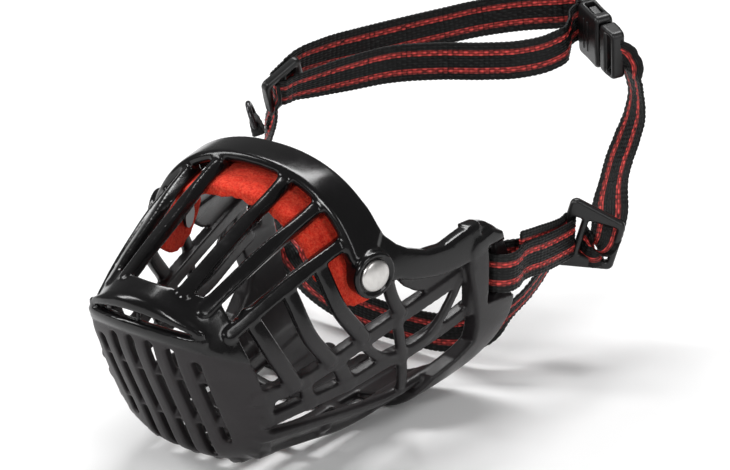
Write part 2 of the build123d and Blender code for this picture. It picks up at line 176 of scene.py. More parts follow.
def wall_point(y, z):
    """Point on the right side of the outer form at a place in the side view."""
    half, mid, top, base, lower = form_at(y)
    power = UPPER_POWER if z >= mid else lower
    height = top - mid if z >= mid else mid - base
    reach = 1 - min(abs(z - mid) / height, 1.0) ** power
    return np.array([float(half * reach ** (1 / power)), y, z])


def roof_point(x, y, below=False):
    """Point on the top, or the belly, of the outer form at a place in the plan view."""
    half, mid, top, base, lower = form_at(y)
    power, height = (lower, base - mid) if below else (UPPER_POWER, top - mid)
    reach = 1 - min(abs(x) / half, 1.0) ** power
    return np.array([x, y, float(mid + height * reach ** (1 / power))])


def sunk(point, depth):
    """Point moved off the outer form by depth, negative inward."""
    e = 0.05
    x, y, z = point
    slope = np.array([form_distance(x + e, y, z) - form_distance(x - e, y, z),
                      form_distance(x, y + e, z) - form_distance(x, y - e, z),
                      form_distance(x, y, z + e) - form_distance(x, y, z - e)])
    return point + depth * slope / np.linalg.norm(slope)


# ---- meshes from distances ----
class Field:
    """Signed distance sampled on a box of points."""

    def __init__(self, low, high, step):
        self.step = step
        self.low = np.array(low, float)
        counts = np.ceil((np.array(high, float) - self.low) / step).astype(int) + 1
        self.axes = [(self.low[k] + step * np.arange(counts[k])).astype(np.float32) for k in range(3)]
        self.x = self.axes[0][:, None, None]
        self.y = self.axes[1][None, :, None]
        self.z = self.axes[2][None, None, :]
        self.value = np.full(counts, 50.0, np.float32)

    def window(self, low, high):
        """Slices of the part of the box between two corners."""
        spans = []
        for k in range(3):
            first = int(np.searchsorted(self.axes[k], low[k]))
            last = int(np.searchsorted(self.axes[k], high[k]))
            spans.append(slice(max(first - 1, 0), last + 1))
        return tuple(spans)

    def at(self, spans):
        return self.x[spans[0]], self.y[:, spans[1]], self.z[:, :, spans[2]]


def surface_net(value, low, step):
    """Smooth quad mesh of the zero level of a sampled distance."""
    inside = value < 0
    shape = np.array(value.shape)
    cells = shape - 1
    total = np.zeros((int(np.prod(cells)), 3), np.float32)
    count = np.zeros(int(np.prod(cells)), np.float32)
    strides = np.array([cells[1] * cells[2], cells[2], 1])
    quads = []
    for axis in range(3):
        other = [k for k in range(3) if k != axis]
        head = [slice(None)] * 3
        tail = [slice(None)] * 3
        head[axis], tail[axis] = slice(0, -1), slice(1, None)
        cut = np.argwhere(inside[tuple(head)] != inside[tuple(tail)])
        first = value[tuple(cut.T)]
        ahead = cut.copy()
        ahead[:, axis] += 1
        second = value[tuple(ahead.T)]
        spot = cut.astype(np.float32)
        spot[:, axis] += first / (first - second)
        around = []
        for da, db in ((-1, -1), (0, -1), (0, 0), (-1, 0)):
            cell = cut.copy()
            cell[:, other[0]] += da
            cell[:, other[1]] += db
            around.append(cell)
        whole = np.all([((c >= 0) & (c < cells)).all(axis=1) for c in around], axis=0)
        flat = np.stack([c[whole] @ strides for c in around], axis=1)
        for corner in range(4):
            for k in range(3):
                total[:, k] += np.bincount(flat[:, corner], spot[whole, k], len(total)).astype(np.float32)
            count += np.bincount(flat[:, corner], minlength=len(count)).astype(np.float32)
        flip = (first[whole] < 0) != (axis == 1)
        quads.append(np.where(flip[:, None], flat, flat[:, ::-1]))
    used = np.flatnonzero(count)
    number = np.full(len(count), -1)
    number[used] = np.arange(len(used))
    vertices = total[used] / count[used, None] * step + low
    return vertices, number[np.concatenate(quads)]


def mirrored_net(field, value):
    """Mesh of a half, sampled from x = 0 outward, joined to its mirror image."""
    whole = np.concatenate([value[:0:-1], value], axis=0)
    return surface_net(whole, np.array((-field.axes[0][-1], *field.low[1:])), field.step)


def mesh_object(name, vertices, faces):
    """Smooth-shaded mesh of quads from points in millimetres behind the nose tip."""
    mesh = bpy.data.meshes.new(name)
    mesh.vertices.add(len(vertices))
    mesh.vertices.foreach_set("co", to_frame(vertices).astype(np.float32).ravel())
    mesh.loops.add(faces.size)
    mesh.loops.foreach_set("vertex_index", faces.astype(np.int32).ravel())
    mesh.polygons.add(len(faces))
    mesh.polygons.foreach_set("loop_start", np.arange(0, faces.size, faces.shape[1], dtype=np.int32))
    mesh.polygons.foreach_set("use_smooth", np.ones(len(faces), bool))
    mesh.update(calc_edges=True)
    mesh.validate()
    piece = bpy.data.objects.new(name, mesh)
    bpy.context.scene.collection.objects.link(piece)
    return piece


def thin_out(piece, most):
    """Reduce a piece to at most this many triangles."""
    triangles = sum(len(p.vertices) - 2 for p in piece.data.polygons)
    if triangles <= most:
        return
    modifier = piece.modifiers.new("fewer", "DECIMATE")
    modifier.ratio = most / triangles
    graph = bpy.context.evaluated_depsgraph_get()
    mesh = bpy.data.meshes.new_from_object(piece.evaluated_get(graph))
    piece.modifiers.clear()
    piece.data = mesh


def store(piece, name, values):
    """Keep one number for each vertex, for a material to read."""
    layer = piece.data.attributes.new(name, "FLOAT", "POINT")
    layer.data.foreach_set("value", np.asarray(values, np.float32))


def local_points(piece):
    """Vertices in millimetres behind the nose tip."""
    flat = np.empty(len(piece.data.vertices) * 3, np.float32)
    piece.data.vertices.foreach_get("co", flat)
    return flat.reshape(-1, 3) / MM + (0.0, NOSE_TO_ORIGIN, 0.0)


# ---- basket ----
# side view of the nose on the centre line, as (z, y); the nose is bowed in plan by NOSE_BOW * x * x
NOSE_PROFILE = [
    (-1, 36), (4, 31), (10.4, 25.9), (27, 17.5), (48, 7.6), (57, 3.9), (62.8, 2.3), (66, 1.8),
    (70, 1.6), (74, 1.7), (78, 2.3), (84, 7)]
NOSE_BOW = 0.009
NOSE_WALL = 3.6
# rear edge of the nose cap on the side, as (z, y), and the boundary of its glossy top
CAP_REAR = [(0, 44), (8, 43), (15, 37), (20, 33.5), (24, 31.5), (30, 30), (36.3, 28.6),
            (43.5, 26.5), (51.7, 23.6), (60, 20.6), (72, 19.5), (110, 19)]
CAP_REAR_TOP = 11.2
CAP_REAR_BOW = 0.0175
NOSE_SLOTS = [(3.9, 8.6, 63.2), (11.8, 11.6, 61.8), (19.7, 20, 57.6)]   # x, low z, high z
SLOT_HALF = 1.65
SLOT_BARS = [49.3, 28.6]                                                  # z of the bars across the slots
VENT_Z, VENT_DROP, VENT_HALF, VENT_REACH = 71.2, 0.0072, 2.1, 21.5        # the slit in the glossy top

ARCH_FRONT, ARCH_REAR = 66, 80.0
RIM_TOP = [(81.2, 92.5), (81.4, 86.8), (83.4, 82), (87.4, 77.8), (92.4, 74.6), (100.2, 71.6), (109, 70.8),
           (118, 72.4), (124, 73.2), (128, 73)]
RIM_BOTTOM = [(128, 62.5), (122, 60.8), (116, 60.2), (109.5, 60.2), (102, 61), (95.2, 62.5), (90, 63.9),
              (86, 65.6), (82.6, 66.2)]
FRAME_FRONT = [
    (120.2, 64.5), (123, 67.6), (128.6, 67.4), (130.4, 65.4), (130.6, 41.6), (142.5, 39.6), (148, 38),
    (148, 30), (145, 20), (138, 10), (128, 2), (120, -2), (108, -2), (106, 10),
    (110, 17), (120, 21), (127, 26), (126, 33), (122.3, 46.5), (120.2, 56)]
POST_CAP = [(122.6, 64), (123.4, 68), (133.5, 69), (139.6, 66.2), (140, 63), (131, 63)]
EAR = [(122, 60), (122, 73.2), (128.4, 72.9), (133, 71.4), (137, 68.6), (140.6, 65),
       (144, 60), (148, 52), (148, 38), (122, 38)]
STRAP_SLOT = [(130.6, 41.5), (138.6, 41.5), (138.6, 60.6), (130.6, 60.6)]
CRESCENT = [(82, 66.5), (88.2, 63.9), (92.1, 59.7), (97.4, 56.2), (103.6, 54.2), (110, 53.4),
            (115.6, 54.6), (120, 57.5), (124, 66)]

# bars on the side: route in the side view, half width, depth reached inward, how proud, edge radius
SIDE_BARS = {
    "long_upper": ([(24, 40.6), (39.3, 40.2), (55.7, 42.7), (71.2, 45.9), (87.6, 49), (102.4, 51.6),
                    (121.5, 55.1), (127, 56)], 2.8, 5.2, -0.5, 0.7),
    "long_lower": ([(22, 29.7), (46.7, 30.8), (64.7, 31), (84.9, 33.3), (96.8, 33.7), (111.5, 36.3),
                    (125.4, 39.3), (129, 40)], 2.6, 5, -0.5, 0.7),
    "stave_1": ([(25.4, 70.2), (30.6, 56), (38.6, 41.6)], 3.1, 3, 0.9, 1.7),
    "stave_2": ([(41.6, 74), (46, 56.7), (54.8, 44.9)], 3, 3, 0.9, 1.7),
    "stave_3": ([(55.6, 78.6), (59.4, 63.3), (70, 48.6)], 3, 3, 0.9, 1.7),
    "stave_4": ([(82.6, 68), (84.8, 58), (88.4, 51.4)], 2.6, 3, 0.7, 1.9),
    "stave_4_low": ([(87.6, 48), (89.5, 39.7), (92.2, 29), (99, 14.5), (103, 9)], 2.1, 3, -0.1, 1.3),
    "web_1": ([(30.6, 41), (28.2, 31)], 2.2, 3.2, -0.9, 0.8),
    "web_2": ([(43.4, 41), (47.4, 30.5)], 2.6, 3.2, -0.7, 0.8),
    "web_3": ([(58.6, 43), (65.4, 31.5)], 2.9, 3.2, -0.7, 0.8),
    "leaf_front": ([(70.4, 45.6), (77.8, 38.2), (90, 31.8)], 1.9, 3, -0.4, 1.1),
    "leaf_rear": ([(119, 53.4), (114, 46.2), (109.3, 40.6), (102.7, 35.9), (95, 33.2)], 1.8, 3, -0.3, 1.2),
    "low_rail": ([(21, 24.6), (42.9, 21.3), (69.4, 17), (96, 13.2), (112, 14.6), (124, 19)],
                 2.1, 3.2, 0.3, 1.4),
    "corner_rail": ([(27, 14.6), (45, 10.4), (70, 6.9), (95, 5), (112, 6.2)], 2, 3.2, 0.5, 1.5),
    "corner_web": ([(30, 18), (60, 12.6), (90, 8.4), (112, 9.2)], 4.6, 3, -1.7, 0.6),
}
# ribs over the nose: x and y at the nose, halfway and at the arch
TOP_RIBS = [((12.2, 12.6), (13.2, 40), (14.2, 67.5)), ((19.6, 13.4), (23.8, 40), (27.8, 68.5)),
            ((27.3, 17.2), (33.6, 44), (37.9, 69.5))]
# rails under the jaw, by their two ends as (x, y), and the y of the hoops across them
BELLY_RAILS = [((0, 33), (0, 133)), ((9, 34), (15, 132)), ((18.5, 32), (30, 130))]
BELLY_HOOPS = [64, 94]
CAGE_STEP, CAGE_QUICK_STEP, CAGE_TRIANGLES = 0.62, 1.1, 190000


def nose_front(z):
    table = np.array(NOSE_PROFILE)
    return smooth_table(table[:, 0], table[:, 1], z)


def nose_distance(x, y, z):
    """Distance to the nose face, positive in front of it."""
    ahead = nose_front(z) + NOSE_BOW * x * x - y
    slope = nose_front(z + 0.5) - nose_front(z - 0.5)
    return ahead / np.sqrt(1 + slope ** 2 + (2 * NOSE_BOW * x) ** 2)


def lap_height(y):
    """Height of the lower edge of the glossy top."""
    return np.maximum(61.0 + 0.5 * np.clip(9.0 - y, -12.0, 9.0), 54.8)


def vent_middle(x):
    return VENT_Z - VENT_DROP * x * x


def vent_half(x):
    return VENT_HALF * np.sqrt(np.clip(1 - (x / VENT_REACH) ** 2, 0, 1))


class Cage(Field):
    """The right half of the basket; the left half is its mirror image."""

    def __init__(self, step):
        super().__init__((0.0, -4.0, -1.5), (60.0, 151.0, 110.0), step)
        self.form = form_distance(self.x, self.y, self.z).astype(np.float32)
        self.nose = nose_distance(self.x, self.y, self.z).astype(np.float32)

    def join(self, spans, distance, fillet=1.3):
        self.value[spans] = smin(self.value[spans], distance, fillet)

    def bar(self, route, half_width, depth, proud, radius, fillet=1.3):
        """Bar lying in the wall along a route of points on the outer form."""
        middle = (proud - depth) / 2
        points = smooth_path([sunk(p, middle) for p in route], 2.5)
        margin = half_width + depth + 3
        spans = self.window(points.min(axis=0) - margin, points.max(axis=0) + margin)
        away = path_distance(*self.at(spans), points)
        off = self.form[spans] - middle
        beside = np.sqrt(np.maximum(away ** 2 - off ** 2, 0))
        distance = round_box(beside, off, half_width, (proud + depth) / 2, radius)
        self.join(spans, np.maximum(distance, self.nose[spans] + 1.0), fillet)

    def band(self, outline, depth, proud, radius, fillet):
        """Stretch of wall inside an outline in the side view."""
        edge = polygon_distance(self.y[0], self.z[0], outline).astype(np.float32)[None]
        distance = plate(edge, self.form - (proud - depth) / 2, (proud + depth) / 2, radius)
        self.value = smin(self.value, distance, fillet)

    def cut(self, spans, distance, fillet=0.7):
        self.value[spans] = smax(self.value[spans], -distance, fillet)


def add_nose(cage):
    spans = cage.window((0, -5, -2), (60, 46, 110))
    x, y, z = cage.at(spans)
    nose = cage.nose[spans]
    softness = np.clip(7.0 - (z - 50.0) * 0.36, 2.0, 7.0)
    outer = smax(cage.form[spans], nose, softness)
    inner = smax(cage.form[spans] + WALL, nose + NOSE_WALL, softness * 0.7)
    table = np.array(CAP_REAR)
    rear_side = smooth_table(table[:, 0], table[:, 1], z)
    rear_top = np.minimum(CAP_REAR_TOP + CAP_REAR_BOW * x * x, 19.5)
    share = np.clip((z - 70.0) / 5.0, 0, 1)
    rear = rear_side * (1 - share) + rear_top * share
    shell = smax(outer, -inner, 1.0)
    # the glossy top laps a little over the matt plate
    shell = smin(shell, smax(smax(outer - 0.55, lap_height(y) - z, 1.2), -inner, 1.0), 0.5)
    cage.join(spans, smax(shell, y - rear, 1.6), 0.01)

    for slot_x, low, high in NOSE_SLOTS:
        middle_z = np.clip(z, low + SLOT_HALF, high - SLOT_HALF)
        slot = np.sqrt((x - slot_x) ** 2 + (z - middle_z) ** 2) - SLOT_HALF
        cage.cut(spans, np.maximum(slot, -nose - 9.0), 1.0)
    vent = np.maximum(np.abs(z - vent_middle(x)) - vent_half(x), x - VENT_REACH)
    cage.cut(spans, np.maximum(vent, -nose - 8.0), 0.8)
    tilt = math.radians(27)
    for z_bar in SLOT_BARS:
        off_y = y - NOSE_BOW * x * x - nose_front(z_bar) - 3.3
        off_z = z - z_bar
        along = off_y * math.sin(tilt) + off_z * math.cos(tilt)
        deep = off_y * math.cos(tilt) - off_z * math.sin(tilt)
        cage.join(spans, smax(round_box(along, deep, 1.9, 1.7, 0.6), x - 23.0, 0.3), 0.6)

    across = np.linspace(-4, VENT_REACH + 1.5, 24)
    for side, offset, radius in ((-1, 1.5, 1.75), (1, 1.3, 1.35)):
        z_lip = vent_middle(across) + side * (vent_half(across) + offset)
        y_lip = nose_front(z_lip) + NOSE_BOW * across ** 2 + 1.2
        lip = path_distance(x, y, z, np.stack([across, y_lip, z_lip], axis=1)) - radius
        cage.join(spans, lip, 1.2)
    web = np.maximum(np.maximum(x - 0.55, np.abs(z - VENT_Z) - 3.5), np.abs(nose + 1.9) - 1.0)
    cage.join(spans, web, 0.5)


def add_bars(cage):
    for route, half_width, depth, proud, radius in SIDE_BARS.values():
        cage.bar([wall_point(y, z) for y, z in route], half_width, depth, proud, radius)
    for rib in TOP_RIBS:
        cage.bar([roof_point(x, y) for x, y in rib], 2.55, depth=3.0, proud=1.5, radius=1.05, fillet=0.8)
    for rail in BELLY_RAILS:
        (x0, y0), (x1, y1) = rail
        route = [roof_point(x0 + (x1 - x0) * t, y0 + (y1 - y0) * t, below=True)
                 for t in np.linspace(0, 1, 5)]
        cage.bar(route, 2.6, depth=3.2, proud=0.2, radius=1.2)
    for y in BELLY_HOOPS:
        route = [roof_point(x, y, below=True) for x in (-6.0, 6.0, 16.0, 26.0, 33.0)]
        cage.bar(route, 2.2, depth=3.2, proud=-0.3, radius=1.0)


def rivet_frame(x, y, z):
    """Distance from the rivet's axis and height along it from the boss face."""
    dx, dy, dz = x - RIVET_AT[0], y - RIVET_AT[1], z - RIVET_AT[2]
    height = dx * RIVET_COS - dy * RIVET_SIN
    beside = dx * RIVET_SIN + dy * RIVET_COS
    return np.sqrt(beside ** 2 + dz ** 2), height


def add_bands(cage):
    """Arch, rims, strap frames and rivet bosses."""
    arch_rear = [(ARCH_REAR, 140), (ARCH_REAR + 1.2, 92.5), (ARCH_REAR + 1.4, 84)]
    arch_line = [(ARCH_FRONT, 140), *arch_rear, (76, 78), (ARCH_FRONT, 78)]
    flange_line = [(76.6, 140), *arch_rear, (76.6, 80)]
    sweep_line = [(ARCH_FRONT + 0.5, 84), (76, 88), *RIM_TOP, *RIM_BOTTOM, (79, 67.5), (74, 70), (66.5, 74)]
    for outline, depth, proud, radius, fillet in (
            (CRESCENT, 3.2, -1.4, 0.8, 0.8), (arch_line, 0.2, BAND_PROUD + 1.2, 1.7, 1.6),
            (flange_line, 3.0, BAND_PROUD, 1.2, 1.2), (sweep_line, 2.0, BAND_PROUD + 0.4, 1.5, 1.8),
            (EAR, 3.0, BAND_PROUD - 1.0, 1.3, 1.4), (FRAME_FRONT, 3.0, BAND_PROUD + 0.6, 1.2, 0.9),
            (POST_CAP, 2.0, BAND_PROUD + 0.6, 1.2, 0.9)):
        cage.band(outline, depth, proud, radius, fillet)
    # the rear post is recessed so that the webbing lies flush over it
    recess = polygon_distance(cage.y[0], cage.z[0], [(130.6, 41.5), (152, 40.5), (152, 61.0), (130.6, 62.0)])
    recess = np.maximum(recess.astype(np.float32)[None], -cage.form - 0.2)
    cage.cut((slice(None),) * 3, recess, 0.8)
    slot = polygon_distance(cage.y[0], cage.z[0], STRAP_SLOT).astype(np.float32)[None]
    cage.cut((slice(None),) * 3, np.maximum(slot, 30.0 - cage.x), 0.8)

    reach = BOSS_RADIUS + 5
    low = np.array(RIVET_AT) - reach
    spans = cage.window(low, low + 2 * reach)
    radial, height = rivet_frame(*cage.at(spans))
    boss = round_box(radial, height + 2.6, BOSS_RADIUS, 2.9, 1.0)
    cage.join(spans, boss, 1.4)
    lip = np.sqrt((radial - 7.5) ** 2 + (height - 0.1) ** 2) - 0.8
    cage.join(spans, lip, 0.9)
    cage.cut(spans, round_box(radial, height - 3.2, 6.6, 3.0, 0.4), 0.5)
    cage.cut(spans, np.maximum(radial - 2.1, np.abs(height) - 14.0), 0.3)


def make_basket():
    cage = Cage(CAGE_STEP)
    add_nose(cage)
    add_bars(cage)
    add_bands(cage)
    cage.value = smax(cage.value, -cage.z, 0.6)
    piece = mesh_object("basket_moulding", *mirrored_net(cage, cage.value))
    thin_out(piece, CAGE_TRIANGLES)
    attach(piece, "cage")
    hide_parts("basket")
    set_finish(piece, "cage_plastic")
    return piece


# ---- webbing ----
WEB_WIDTH = 15.0
WEB_THICK = 1.6
WEB_COLUMNS = 14          # warp columns across the webbing
PICK = 1.95               # distance between crossing threads
BEAD = 0.42               # height of the woven beads
STRIPE_MIDDLE = 0.47      # place and half width of a red stripe, as shares of the half width
STRIPE_HALF = 0.15
RING_STEP = 0.4           # distance between the mesh's cross sections
UP = (0, 0, 1)


def unit(v):
    v = np.asarray(v, float)
    return v / np.linalg.norm(v, axis=-1, keepdims=True)


def web_line(route, spacing=RING_STEP):
    """Points, width directions and face directions along a webbing route."""
    table = np.array([[*point, *unit(across)] for point, across in route])
    lined = smooth_path(table, spacing)
    points, across = lined[:, :3], lined[:, 3:]
    along = unit(np.gradient(points, axis=0))
    across = unit(across - along * (across * along).sum(axis=1, keepdims=True))
    return points, across, np.cross(along, across)


def webbing(name, route, keep=(0.0, 1.0), pinch=(0.0, 0.1, 1.0)):
    """Woven ribbon along a route, or the stretch of it between two fractions of its length.

    Where it is pinched, round a fraction of the route and over a share of it, it is narrower.
    """
    points, across, face = web_line(route)
    first, last = (int(round(k * (len(points) - 1))) for k in keep)
    share = np.arange(first, last + 1) / (len(points) - 1)
    along = np.arange(first, last + 1) * RING_STEP
    points, across, face = points[first:last + 1], across[first:last + 1], face[first:last + 1]
    count = WEB_COLUMNS * 4 + 1
    v = np.linspace(-1, 1, count)
    column = np.clip(np.floor((v + 1) / 2 * WEB_COLUMNS), 0, WEB_COLUMNS - 1)
    in_column = (v + 1) / 2 * WEB_COLUMNS - column
    stripe = np.clip((STRIPE_HALF - np.abs(np.abs(v) - STRIPE_MIDDLE)) / 0.03, 0, 1)
    arch = np.sin(np.pi * np.clip(in_column, 0.05, 0.95)) ** 0.7
    rib = np.abs(np.sin(np.pi * along / PICK))[:, None] ** 0.6
    turn = 0.5 + 0.5 * np.cos(np.pi * (along[:, None] / PICK - 0.5) + np.pi * column[None])
    swap = 0.35 + 0.3 * stripe
    jitter = rng.normal(0, 0.1, (len(along) // 4 + 2, WEB_COLUMNS)).repeat(4, axis=0)[:len(along)]
    beads = (1 - swap) * rib + swap * turn * (0.4 + 0.6 * rib)
    relief = np.clip(arch * (0.12 + 0.88 * beads + jitter[:, column.astype(int)]), 0, 1.15)
    round_edge = np.sqrt(np.clip(1 - np.abs(v) ** 9, 0.0, 1))
    scallop = 0.26 * (rib - 0.6) * (np.abs(v) > 0.86)
    squeeze = 1 - (1 - pinch[2]) * np.exp(-((share - pinch[0]) / pinch[1]) ** 2)
    side = v[None] * (WEB_WIDTH / 2 + scallop) * squeeze[:, None]
    core = (WEB_THICK / 2 - BEAD) * (0.3 + 0.7 * round_edge)[None]
    under = np.roll(relief, int(round(PICK / RING_STEP)), axis=0)
    height, depth = core + BEAD * relief, core + BEAD * under
    middle = points[:, None] + across[:, None] * side[..., None]
    top = middle + face[:, None] * height[..., None]
    bottom = middle - face[:, None] * depth[..., None]
    ring = np.concatenate([top, bottom[:, ::-1]], axis=1)
    rings, loop = ring.shape[:2]
    here = np.arange(rings - 1)[:, None] * loop + np.arange(loop)[None]
    beside = np.arange(rings - 1)[:, None] * loop + (np.arange(loop)[None] + 1) % loop
    sides = np.stack([here, here + loop, beside + loop, beside], axis=-1).reshape(-1, 4)
    k = np.arange(count - 1)
    start = np.stack([k, k + 1, loop - 2 - k, loop - 1 - k], axis=1)
    end = start[:, ::-1] + (rings - 1) * loop
    piece = mesh_object(name, ring.reshape(-1, 3), np.concatenate([sides, start, end]))
    # the bead height goes to the material, which uses it for painted shade in the grooves and a painted
    # highlight on the black bead tops
    bead = np.concatenate([relief, under[:, ::-1]], axis=1)
    store(piece, "bead", bead.ravel())
    both = np.concatenate([stripe, stripe[::-1]])
    store(piece, "stripe", np.broadcast_to(both, (rings, loop)).ravel())
    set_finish(piece, "striped_webbing")
    return piece


# webbing routes, each entry a point and the direction across the webbing there
FLAT = (0.35, -0.6, 0.72)
RIGHT_OUTER = [
    ((50.6, 136.8, 50.4), UP), ((53.2, 135.6, 50.4), UP), ((56.4, 136.4, 50.4), UP),
    ((59, 138.6, 50.3), UP), ((60.2, 142, 50.2), UP), ((59.8, 146.4, 50.1), UP),
    ((58.6, 150.6, 50), UP), ((58.9, 155.4, 49.9), UP), ((59.8, 160, 49.5), UP),
    ((60.2, 167, 48.8), UP), ((60, 175, 48), UP), ((59.6, 181, 47.3), UP),
    ((59, 184.8, 47), UP), ((57.8, 187.2, 47.2), UP), ((55.6, 188.3, 47.8), UP),
    ((53.4, 187.2, 48.3), UP)]
RIGHT_INNER = [
    ((57.2, 150.2, 54.4), (0, 0.04, 1)), ((58, 155.4, 53.8), (0, 0.04, 1)), ((58.3, 163, 52.6), UP),
    ((58.4, 171, 51.2), UP), ((57.9, 178, 50.2), UP), ((56.6, 183, 49.6), UP)]
RIGHT_BACK = [
    ((51.4, 137.2, 50.4), UP), ((50.4, 140, 50.4), UP), ((50.8, 146, 50.3), UP),
    ((53.6, 151, 50.2), UP), ((56.6, 155.5, 49.9), UP), ((57, 160, 49.6), UP)]
RIGHT_NECK = [
    ((57.4, 190.2, 44.8), UP), ((60.6, 189.9, 42.8), (0.18, 0, 1)), ((63.6, 189.2, 41.4), (0.3, 0, 0.95)),
    ((66.4, 189.6, 41.4), (0.55, 0.15, 0.8)), ((68, 191.6, 44.2), (0.8, 0.3, 0.35)),
    ((68, 194.4, 48.2), (0.85, 0.4, 0)), ((66.6, 198.2, 52.8), (0.88, 0.2, -0.1)),
    ((64.4, 202.4, 57.6), (0.9, -0.1, 0)), ((62.8, 207, 63.2), (0.9, -0.35, 0.1)),
    ((61.5, 212.6, 69), (0.9, -0.4, 0.1)), ((60.4, 220, 75.6), (0.9, -0.45, 0.1)),
    ((59.2, 227, 83), (0.85, -0.5, 0.2)), ((57.8, 230, 91), (0.7, -0.6, 0.4)),
    ((56.4, 228.2, 98), (0.4, -0.6, 0.7)), ((55, 225.4, 103.6), (0.15, -0.35, 0.9)),
    ((52.6, 224.2, 105.8), (0, -0.15, 1)), ((50.4, 225.2, 106.4), (0, -0.15, 1))]
LEFT_CHEEK = [
    ((-54.4, 135.6, 50.5), UP), ((-56.6, 139, 50.5), UP), ((-57.4, 147, 50.5), UP),
    ((-59.2, 152.5, 52), (0, -0.2, 1)), ((-60.6, 156.5, 57), (0, -0.6, 0.8)),
    ((-62.6, 158.2, 63.5), (0.4, -0.9, 0.2)), ((-60.8, 155.8, 70), (0.62, -0.78, 0.05)),
    ((-56.2, 151.7, 76.6), (0.7, -0.7, 0.1)), ((-51, 147.5, 83.6), (0.7, -0.68, 0.2)),
    ((-47.8, 145, 89), (0.64, -0.65, 0.4)), ((-46, 143.8, 93.2), (0.5, -0.6, 0.6)),
    ((-45.8, 143.3, 95.9), (0.38, -0.5, 0.78)), ((-47.2, 144.5, 98), (0.32, -0.46, 0.83))]
NECK_LOOP = [
    ((-48.4, 142.6, 97.4), (0.32, -0.46, 0.83)), ((-47.7, 146, 98.8), (0.3, -0.45, 0.84)),
    ((-45.8, 153.6, 102.2), (0.25, -0.3, 0.9)), ((-41.5, 166, 103.5), (0.1, -0.2, 1)),
    ((-35.5, 182, 103.5), UP), ((-27.5, 197.5, 104.5), UP), ((-18.5, 211, 106), UP), ((-8.5, 223, 108), UP),
    ((4.5, 233.8, 110), UP), ((15.5, 241, 111), UP), ((22, 245, 111.5), UP), ((27.7, 244.1, 111.2), UP),
    ((30.2, 241.6, 110.8), UP), ((28.85, 238.6, 110.2), UP), ((27.2, 236, 109.6), UP),
    ((27, 233, 108.6), UP), ((28.6, 229, 107.2), UP), ((29.8, 224.5, 105.6), UP), ((27, 218, 103.4), UP),
    ((19.5, 209.5, 101.6), UP), ((8, 202, 100.6), UP), ((-7, 193.6, 100), UP), ((-21, 182, 99.3), UP),
    ((-30.5, 166, 98.2), (0.1, -0.2, 1)), ((-37.3, 154.5, 97), (0.25, -0.3, 0.9)),
    ((-41.6, 147.6, 96), (0.3, -0.45, 0.84)), ((-43.4, 144.2, 95), (0.32, -0.46, 0.83)),
    ((-45.4, 142.6, 95.2), (0.32, -0.46, 0.83)), ((-47.4, 143.2, 96.6), (0.32, -0.46, 0.83))]
THROAT = [
    ((51.6, 187.2, 39.2), (0.28, -0.15, 0.93)), ((50.2, 183.6, 36.2), (0.33, -0.45, 0.8)),
    ((49.9, 178.6, 32.7), FLAT), ((49.5, 172.4, 29.2), FLAT), ((48.2, 166, 25.6), FLAT),
    ((44.8, 160.6, 21.2), (0.33, -0.45, 0.8)), ((38.8, 156.6, 15.9), (0.25, -0.1, 0.93)),
    ((30, 154.4, 12), (0.08, 0.1, 1)), ((22, 153.2, 10.2), (0, 0.1, 1)), ((6, 152.4, 9.2), UP),
    ((-10, 152.6, 9.2), UP), ((-26, 153.8, 10.6), (0, 0.1, 1)), ((-40, 156, 14.5), (-0.2, 0.2, 0.95)),
    ((-51, 158, 22), (-0.5, 0.3, 0.8)), ((-57, 157.4, 31), (-0.4, 0.7, 0.5)),
    ((-58.6, 156.2, 40.5), (-0.25, 0.95, 0.2)), ((-58, 155.2, 48), (-0.34, 0.94, 0.04)),
    ((-57.7, 154.8, 54), (-0.34, 0.94, 0))]


def place(point):
    """Point in metres in the CAD frame, as a tuple."""
    return tuple(float(k) for k in to_frame(point))


def make_harness():
    """All the webbing, in stretches."""
    pieces = []

    def turning(piece, start, end):
        place(start)
        place(end)
        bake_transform(piece)
        pieces.append(piece)
        return piece

    post, free = (57, 141, 50), (59, 152, 50)
    sewn, held = (59.5, 172, 48.5), (58, 184, 47)
    cheek = turning(webbing("right_cheek_webbing", RIGHT_OUTER, (0, 0.62)),
                    post, free)
    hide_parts("right_cheek_strap")
    turning(webbing("right_cheek_turn", RIGHT_OUTER, (0.62, 1)), sewn, held)
    turning(webbing("right_cheek_underlay", RIGHT_INNER), sewn, held)
    turning(webbing("right_cheek_return", RIGHT_BACK), post, free)
    curl = (0.16, 0.12, 0.8)
    turning(webbing("right_neck_turn", RIGHT_NECK, (0, 0.4), curl),
            (66, 196, 51), (62, 208, 66))
    neck = turning(webbing("right_neck_webbing", RIGHT_NECK, (0.4, 1), curl),
                   (58, 229, 90), (55.4, 226, 102))
    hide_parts("right_neck_strap")
    narrow = (0.92, 0.2, 0.8)
    left = turning(webbing("left_cheek_webbing", LEFT_CHEEK, (0, 0.6), narrow),
                   (-57, 141, 50), (-59, 152, 52))
    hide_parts("left_cheek_strap")
    turning(webbing("left_cheek_turn", LEFT_CHEEK, (0.6, 1), narrow),
            (-57, 153, 75), (-46.5, 144.5, 92))
    loop = turning(webbing("neck_loop_webbing", NECK_LOOP),
                   (-35.5, 186, 103), (-43, 153, 99))
    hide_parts("neck_loop_strap")
    throat = webbing("throat_webbing", THROAT)
    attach(throat, "harness")
    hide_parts("throat_strap")
    return [*pieces, throat]


# ---- hardware ----
# each fitting's origin, the direction of its own x and roughly that of its y
ADJUSTER_AT = ((60, 188.6, 47), (15.2, 8, -4.5), (0.1, 0.05, 1))
TRIGLIDE_AT = ((-45, 145.6, 97.3), (0.3, 0.83, 0.47), (0.32, -0.46, 0.83))
BUCKLE_AT = ((41.2, 231, 108), (-0.84, 0.52, 0.15), (0, -0.15, 1))
RING_AT = ((-61.4, 149.4, 77.5), (0.6, -0.8, 0), (-0.28, -0.2, 1))
FINE, CAP_STEP = 0.24, 0.2


